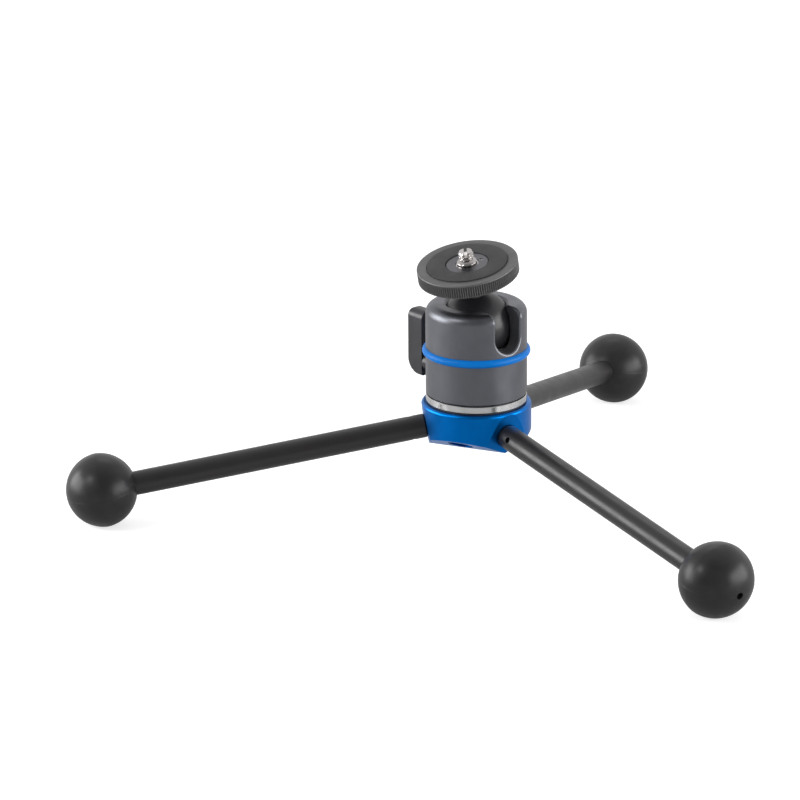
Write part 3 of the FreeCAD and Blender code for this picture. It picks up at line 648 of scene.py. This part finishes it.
# %% Knurled disc
RIDGES = 135
RIDGE_DEPTH = 0.55
KNURL_START = 0.7
SMOOTH_BAND = 0.65
SEAT_DEPTH = 1.05
RIM_ROUND = 0.4
BREAK = 0.1
GAP = 0.05
disc_low, disc_high, disc_bore, disc_radius = measure("knurled_disc", *neck_axis)
pad_low, pad_high, pad_inner, pad_outer = measure("rubber_pad", *neck_axis)
boss_top, boss_radius = measure("platform_boss", *neck_axis)[1::2]
print("disc", round(disc_low, 2), "to", round(disc_high, 2), "radius", round(disc_radius, 2))


def disc_section():
    """Up the outside, over the rim, into the pad's recess, down the bore and over the seat."""
    flange = boss_radius + GAP
    seat = disc_low + SEAT_DEPTH
    root = disc_radius - RIDGE_DEPTH
    low, top = disc_low + KNURL_START, disc_high - SMOOTH_BAND
    recess = pad_outer + GAP
    underside = [(flange, 0, seat), (flange, 0, disc_low + BREAK), (flange + BREAK, 0, disc_low),
                 (root - 0.4, 0, disc_low), (root, 0, disc_low + 0.3)]
    run_in = [(disc_radius - 0.1, 0.8, disc_low + 0.5)]
    knurl = [(disc_radius, 1, low + (top - low) * share) for share in (0, 0.3, 0.55, 0.8)]
    run_out = [(disc_radius, 1, top - 0.25), (disc_radius, 0.8, top - 0.1), (disc_radius, 0, top)]
    rim = [(disc_radius, 0, disc_high - 0.45)]
    rim += rounded(disc_radius - RIM_ROUND, disc_high - RIM_ROUND, RIM_ROUND, 0, 90)
    face = [(recess + 0.15, 0, disc_high), (recess, 0, disc_high - BREAK), (recess, 0, pad_low)]
    bore = [(disc_bore + BREAK, 0, pad_low), (disc_bore, 0, pad_low - BREAK), (disc_bore, 0, seat)]
    return underside + run_in + knurl + run_out + rim + face + bore


disc_metal = blasted_anodised("grey_anodised_knurled_aluminium", "#646364", "#6A696A", 0.55,
                              *neck_axis)
disc = lathe("knurled_disc_turned", knurling, disc_section(),
             {"Steps Round": RIDGES * 10 + 1, "Depth": RIDGE_DEPTH * MM, "Ridges": float(RIDGES),
              "Finish": disc_metal}, on_axis(*neck_axis))
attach(disc, "disc")
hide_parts("knurled_disc")

# %% [markdown]
# The pad on the disc is a rubber ring, punched from sheet and glued into its recess. Its edges
# are a little round from the punch, and a hair's breadth of shadow shows between it and the
# metal.

# %% Rubber pad
FREE_EDGE = 0.12
PAD_ROUND = 0.15
pad_out = pad_outer - FREE_EDGE
pad_bend = pad_high - PAD_ROUND
pad_section = [(pad_inner, 0, pad_low), (pad_out, 0, pad_low), (pad_out, 0, pad_bend)]
pad_section += rounded(pad_out - PAD_ROUND, pad_bend, PAD_ROUND, 0, 90)
pad_section += rounded(pad_inner + PAD_ROUND, pad_bend, PAD_ROUND, 90, 180)
pad = plain_turned("rubber_pad_punched", pad_section, 181, pad_rubber, on_axis(*neck_axis))
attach(pad, "disc")
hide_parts("rubber_pad")

# %% [markdown]
# ### Threads
#
# The camera screw is a 1/4 inch stud with 20 turns to the inch, on a plain round base with a
# wider flange in the boss. The legs end in M8 studs with a pitch of 1.25 mm, and the spare
# sockets under the hub are tapped for them. A thread's section needs a dozen points to each
# pitch, so that the climbing valley stays sharp.

# %% Threaded rods
STEPS_TO_A_PITCH = 12
THREAD_STEPS_ROUND = 73


def threaded_run(low, high, radius, pitch):
    """The points of a threaded length."""
    steps = math.ceil((high - low) / pitch * STEPS_TO_A_PITCH)
    return [(radius, 1, low + (high - low) * n / steps) for n in range(steps + 1)]


def threaded_rod(name, section, pitch, depth, finish, place):
    return lathe(name, threading, section,
                 {"Steps Round": THREAD_STEPS_ROUND, "Depth": depth * MM, "Pitch": pitch * MM,
                  "Finish": finish}, place)


# %% Camera stud
INCH = 25.4
STUD_RADIUS = INCH / 8
STUD_PITCH = INCH / 20
STUD_LENGTH = 3.6
STUD_THREAD_DEPTH = 0.62
STUD_END_CHAMFER = 0.5
CONE_HEIGHT = 0.9
BASE_ROUND = 0.3
FLANGE_RADIUS = 4.8
FLANGE_SUNK = 0.3
stud_low, stud_high, _, stud_base = measure("camera_stud", *neck_axis)
flange_top = boss_top - FLANGE_SUNK
cone_top = stud_high - STUD_LENGTH
base_bend = cone_top - CONE_HEIGHT - BASE_ROUND
base_section = [(0, 0, stud_low), (FLANGE_RADIUS - 0.2, 0, stud_low),
                (FLANGE_RADIUS, 0, stud_low + 0.2), (FLANGE_RADIUS, 0, flange_top - BREAK),
                (FLANGE_RADIUS - BREAK, 0, flange_top), (stud_base, 0, flange_top),
                (stud_base, 0, base_bend)]
base_section += rounded(stud_base - BASE_ROUND, base_bend, BASE_ROUND, 0, 45)
base_section += [(STUD_RADIUS + 0.05, 0, cone_top), (STUD_RADIUS - 0.55, 0, cone_top + BREAK),
                 (0, 0, cone_top + BREAK)]
stud_foot = plain_turned("camera_stud_base", base_section, 97, stainless_metal,
                         on_axis(*neck_axis))
stud_core = STUD_RADIUS - STUD_END_CHAMFER
stud_section = [(0, 0, cone_top - 0.2), (stud_core, 0, cone_top - 0.2)]
stud_section += threaded_run(cone_top, stud_high - STUD_END_CHAMFER, STUD_RADIUS, STUD_PITCH)
stud_section += [(stud_core, 0, stud_high), (0, 0, stud_high)]
stud_thread = threaded_rod("camera_stud_thread", stud_section, STUD_PITCH, STUD_THREAD_DEPTH,
                           stainless_metal, on_axis(*neck_axis))

# %% [markdown]
# The stud's end has a slot for a coin or a screwdriver. A cutter of the slot's width is taken
# away from the thread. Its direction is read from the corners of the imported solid's slot, and
# then the stud is screwed a little back, until the camera looks along the slot as in the
# photograph. The cut walls wear the stud's own steel.


# %% Helpers that cut
def carve(piece, cutter_shape, place):
    """Cuts a shape, moved into its place, out of a piece."""
    mesh = bpy.data.meshes.new("cutter")
    cutter_shape.to_mesh(mesh)
    cutter_shape.free()
    mesh.transform(place)
    cutter = in_scene("cutter", mesh)
    cutting = piece.modifiers.new("cut", "BOOLEAN")
    cutting.operation = "DIFFERENCE"
    cutting.solver = "EXACT"
    cutting.object = cutter
    cut = piece.evaluated_get(bpy.context.evaluated_depsgraph_get())
    done = bpy.data.meshes.new_from_object(cut)
    piece.modifiers.clear()
    piece.data = done
    done.set_sharp_from_angle(angle=SHARP_FROM)
    bpy.data.objects.remove(cutter)


def facing(middle, first, third):
    """Places a shape with its X along one direction and its Z along another."""
    second = third.cross(first)
    return Matrix.Translation(middle) @ Matrix((first, second, third)).transposed().to_4x4()


# %% Slot in the stud
SLOT_WIDTH = 1.3
SLOT_DEPTH = 1.6
SLOT_TURN = 27.0
CUTTER_LENGTH = 9.0
OUTER_CORNER = 2.9
stud_middle, stud_line = Vector(neck_axis[0]), Vector(neck_axis[1]).normalized()
slot_corners = []
for vertex in nodes["camera_stud"].data.vertices:
    step = vertex.co - stud_middle
    height = step.dot(stud_line)
    out = step - stud_line * height
    at_floor = abs(height / MM - stud_high + SLOT_DEPTH) < 0.05
    if at_floor and out.length / MM > OUTER_CORNER:
        slot_corners.append(out)
slot_line = max((a + b for a in slot_corners for b in slot_corners), key=lambda both: both.length)
slot_line.normalize()
slot_line.rotate(Matrix.Rotation(math.radians(SLOT_TURN), 3, stud_line))
slot = bmesh.new()
bmesh.ops.create_cube(slot, size=1.0)
bmesh.ops.scale(slot, vec=(CUTTER_LENGTH * MM, SLOT_WIDTH * MM, 2 * SLOT_DEPTH * MM),
                verts=slot.verts)
carve(stud_thread, slot, facing(stud_middle + stud_line * stud_high * MM, slot_line, stud_line))
for piece in (stud_foot, stud_thread):
    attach(piece, "platform")
    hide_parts("camera_stud")
print("slot along", [round(value, 3) for value in slot_line])

# %% [markdown]
# A leg's stud has its thread up to the hub's flat and a plain shank inside the tube. The cross
# hole for a tommy bar goes through both. The legs come tight at rolls of their own, so the holes
# point in different directions.

# %% Leg studs
LEG_RADIUS = 4.0
LEG_PITCH = 1.25
LEG_THREAD_DEPTH = 0.72
LEG_CHAMFER = 0.6
THREAD_END = -0.3
SHANK_RADIUS = LEG_RADIUS - 0.55
CROSS_HOLE_RADIUS = 1.3
CROSS_HOLE_FROM_HUB = 6.01
DRILL_LENGTH = 12.0
FIRST_ROLL = 18.0
ROLL_STEP = 50.0
for number in LEGS:
    origin, line, level = leg_place(number)
    low, high = measure(f"leg_stud_{number}", origin, line)[:2]
    section = [(0, 0, low), (LEG_RADIUS - LEG_CHAMFER, 0, low)]
    section += threaded_run(low + LEG_CHAMFER, THREAD_END, LEG_RADIUS, LEG_PITCH)
    section += [(SHANK_RADIUS, 0, 0), (SHANK_RADIUS, 0, high - LEG_CHAMFER),
                (SHANK_RADIUS - LEG_CHAMFER, 0, high), (0, 0, high)]
    leg_stud = threaded_rod(f"leg_stud_thread_{number}", section, LEG_PITCH, LEG_THREAD_DEPTH,
                            screw_metal, on_axis(origin, line))
    roll = math.radians(FIRST_ROLL + ROLL_STEP * (number - 1))
    hole_line = level.cross(line) * math.cos(roll) + level * math.sin(roll)
    drill = bmesh.new()
    bmesh.ops.create_cone(drill, segments=32, depth=DRILL_LENGTH * MM, cap_ends=True,
                          radius1=CROSS_HOLE_RADIUS * MM, radius2=CROSS_HOLE_RADIUS * MM)
    carve(leg_stud, drill, facing(origin + line * CROSS_HOLE_FROM_HUB * MM, line, hole_line))
    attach(leg_stud, f"leg_stud_{number}")
    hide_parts(f"leg_stud_{number}")

# %% [markdown]
# The three spare sockets are tapped below their counterbores. Each thread is a thin sleeve
# against the bore's wall, from the same tree, with its ridges standing inwards.

# %% Threads of the spare sockets
SLEEVE_WALL = 0.02
SOCKET_THREAD_DEPTH = 0.6
mounts = {mount["name"]: mount for mount in frame["record"]["mounts"]}
for number in LEGS:
    socket = mounts[f"spare_socket_{number}"]
    bore = socket["dims"]["r_mm"]
    half = socket["dims"]["length_mm"] / 2
    section = [(bore + SLEEVE_WALL, 0, half), (bore + SLEEVE_WALL, 0, -half)]
    section += threaded_run(-half, half, bore, LEG_PITCH)
    sleeve = threaded_rod(f"spare_socket_thread_{number}", section, LEG_PITCH,
                          SOCKET_THREAD_DEPTH, blue_metal,
                          on_axis(socket["pos_m"], socket["axis"]))
    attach(sleeve, "hub")

# %% [markdown]
# ### The feet's parting lines
#
# A rubber foot comes out of a mould in two halves, which meet in the plane of the leg. A little
# rubber creeps into the joint and leaves a ridge round the ball. In the photograph only a nub at
# each side gives it away, so it is made low and wide, and hardly shows where it crosses the
# ball. It is a bar of three long faces, whose edge follows the foot's own outline.

# %% Outline of a foot
OUTER_SKIN = 12 * MM
FOOT_FLATTENED = 0.65


def outline_of_foot(node, middle, line):
    """The outer surface as (angle from the far end in degrees, distance from the middle)."""
    found = {}
    for vertex in nodes[node].data.vertices:
        step = vertex.co - middle
        ahead = step.dot(line)
        angle = round(math.degrees(math.atan2((step - line * ahead).length, ahead)), 1)
        found[angle] = max(step.length, found.get(angle, 0))
    return sorted(pair for pair in found.items() if pair[1] > OUTER_SKIN)


def distance_at(outline, angle):
    """The distance of the outline at an angle, between the two nearest known angles."""
    before = max((pair for pair in outline if pair[0] <= angle), default=outline[0])
    after = min((pair for pair in outline if pair[0] >= angle), default=outline[-1])
    if after[0] == before[0]:
        return before[1]
    return before[1] + (after[1] - before[1]) * (angle - before[0]) / (after[0] - before[0])


# %% Parting line of a foot
FLASH_HEIGHT = 0.05 * MM
FLASH_HALF_WIDTH = 0.5 * MM
FLASH_SUNK = 0.1 * MM
FLASH_ANGLES = range(8, 157, 2)
for number in LEGS:
    origin, line, level = leg_place(number)
    _, far_end, _, widest = measure(f"foot_{number}", origin, line)
    middle = origin + line * (far_end - widest + FOOT_FLATTENED) * MM
    outline = outline_of_foot(f"foot_{number}", middle, line)
    across = line.cross(level) * FLASH_HALF_WIDTH
    ridge = bmesh.new()
    for side in (1, -1):
        last = None
        for angle in FLASH_ANGLES:
            turn = math.radians(angle)
            out = line * math.cos(turn) + level * side * math.sin(turn)
            skin = middle + out * distance_at(outline, angle)
            foot = skin - out * FLASH_SUNK
            corners = (foot + across, skin + out * FLASH_HEIGHT, foot - across)
            row = [ridge.verts.new(corner) for corner in corners]
            if last:
                for n, after in ((0, 1), (1, 2), (2, 0)):
                    ridge.faces.new((last[n], last[after], row[after], row[n]))
            else:
                ridge.faces.new(row)
            last = row
        ridge.faces.new(last)
    bmesh.ops.recalc_face_normals(ridge, faces=ridge.faces)
    flash_mesh = bpy.data.meshes.new(f"foot_parting_line_{number}")
    ridge.to_mesh(flash_mesh)
    ridge.free()
    flash_mesh.materials.append(foot_rubber)
    flash = in_scene(f"foot_parting_line_{number}", flash_mesh)
    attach(flash, f"leg_{number}")
    print(flash.name, len(flash_mesh.polygons), "faces")

# %% [markdown]
# ## Floor, room and lamps
#
# The tripod stands on a wide pale sweep. Its colour and some light of its own make it white for
# the camera, while it still takes the soft shadow. Metal mirrors it too, with only a little of
# that light, so that the hub's facets and the undersides stay as dark as in the photograph.

# %% Floor
FLOOR_HALF = 6.0
FLOOR_COLOUR = "#CCCCCC"
FLOOR_GLOW = 0.65
MIRRORED_GLOW = 0.1


def mirrored_ray(tree, path):
    """1 for what gloss mirrors or glass lets through, and 0 otherwise."""
    return add(tree, "ShaderNodeMath",
               {0: path["Is Glossy Ray"], 1: path["Is Transmission Ray"]},
               operation="MAXIMUM").outputs[0]


floor_mesh = bpy.data.meshes.new("floor")
sweep = bmesh.new()
bmesh.ops.create_grid(sweep, x_segments=8, y_segments=8, size=FLOOR_HALF)
sweep.to_mesh(floor_mesh)
sweep.free()
floor = in_scene("floor", floor_mesh)
paper = bpy.data.materials.new("white_paper_sweep")
paper.use_nodes = True
tree = paper.node_tree
tree.nodes.clear()
path = add(tree, "ShaderNodeLightPath").outputs
glow = add(tree, "ShaderNodeMath", {0: mirrored_ray(tree, path), 1: MIRRORED_GLOW},
           operation="MULTIPLY").outputs[0]
glow = add(tree, "ShaderNodeMath", {0: path["Is Camera Ray"], 1: FLOOR_GLOW, 2: glow},
           operation="MULTIPLY_ADD").outputs[0]
matt = add(tree, "ShaderNodeBsdfDiffuse", {"Color": srgb(FLOOR_COLOUR)}).outputs[0]
light = add(tree, "ShaderNodeEmission", {"Strength": glow}).outputs[0]
both = add(tree, "ShaderNodeAddShader", {0: matt, 1: light}).outputs[0]
add(tree, "ShaderNodeOutputMaterial", {"Surface": both})
floor_mesh.materials.append(paper)
print("floor", 2 * FLOOR_HALF, "m wide")

# %% [markdown]
# The camera sees a white room. Soft light comes from all round at 0.6 of that. What a glossy
# surface mirrors is white behind and beside the tripod, and dimmer at the camera's side, which
# is the dark end of a real studio.

# %% Room
SOFT_LIGHT = 0.6
FRONT_GLOSS = 0.3
room = bpy.data.worlds.new("studio_room")
scene.world = room
room.use_nodes = True
tree = room.node_tree
tree.nodes.clear()
path = add(tree, "ShaderNodeLightPath").outputs
view_turn = math.radians(VIEW_AZIMUTH)
camera_side = Vector((-math.cos(view_turn), -math.sin(view_turn), 0))
where = add(tree, "ShaderNodeTexCoord").outputs["Generated"]
toward = add(tree, "ShaderNodeVectorMath", {0: where, 1: camera_side},
             operation="DOT_PRODUCT").outputs["Value"]
mirrored = add(tree, "ShaderNodeMapRange",
               {"Value": toward, 1: -0.3, 2: 0.6, 3: 1.0, 4: FRONT_GLOSS},
               interpolation_type="SMOOTHSTEP").outputs[0]
strength = add(tree, "ShaderNodeMix",
               {0: mirrored_ray(tree, path), 2: SOFT_LIGHT, 3: mirrored}).outputs[0]
strength = add(tree, "ShaderNodeMix",
               {0: path["Is Camera Ray"], 2: strength, 3: 1.0}).outputs[0]
back = add(tree, "ShaderNodeBackground",
           {"Color": srgb("#FFFFFF"), "Strength": strength}).outputs[0]
add(tree, "ShaderNodeOutputWorld", {"Surface": back})
print("room with soft light", SOFT_LIGHT)

# %% [markdown]
# Two wide softboxes stand low at the sides. They are the bright bands on the head and along the
# tubes. A small one at the left in front lights the faces turned to the camera, and a weak one
# high behind lifts the upper rims.

# %% Lamps
AIM_HEIGHT = 0.06


def softbox(name, azimuth, elevation, distance, width, height, power):
    """An area lamp. Azimuth is measured round the tripod from the camera's side, to the right."""
    turn = math.radians(VIEW_AZIMUTH + 180 + azimuth)
    rise = math.radians(elevation)
    out = Vector((math.cos(turn) * math.cos(rise), math.sin(turn) * math.cos(rise),
                  math.sin(rise)))
    data = bpy.data.lights.new(name, "AREA")
    data.shape = "RECTANGLE"
    data.size = width
    data.size_y = height
    data.energy = power
    lamp = in_scene(name, data)
    lamp.matrix_world = (Matrix.Translation(Vector((0, 0, AIM_HEIGHT)) + out * distance)
                         @ out.to_track_quat("Z", "Y").to_matrix().to_4x4())
    lamp.visible_camera = False
    print(name, power, "W")


softbox("left_softbox", -94, 10, 1.3, 1.1, 0.7, 18.0)
softbox("left_front_softbox", -57, 36, 1.4, 0.3, 0.3, 4.0)
softbox("right_softbox", 72, 10, 1.3, 1.4, 0.7, 19.0)
softbox("overhead_softbox", 178, 50, 1.4, 0.6, 0.35, 1.0)
scene.view_settings.view_transform = "Standard"
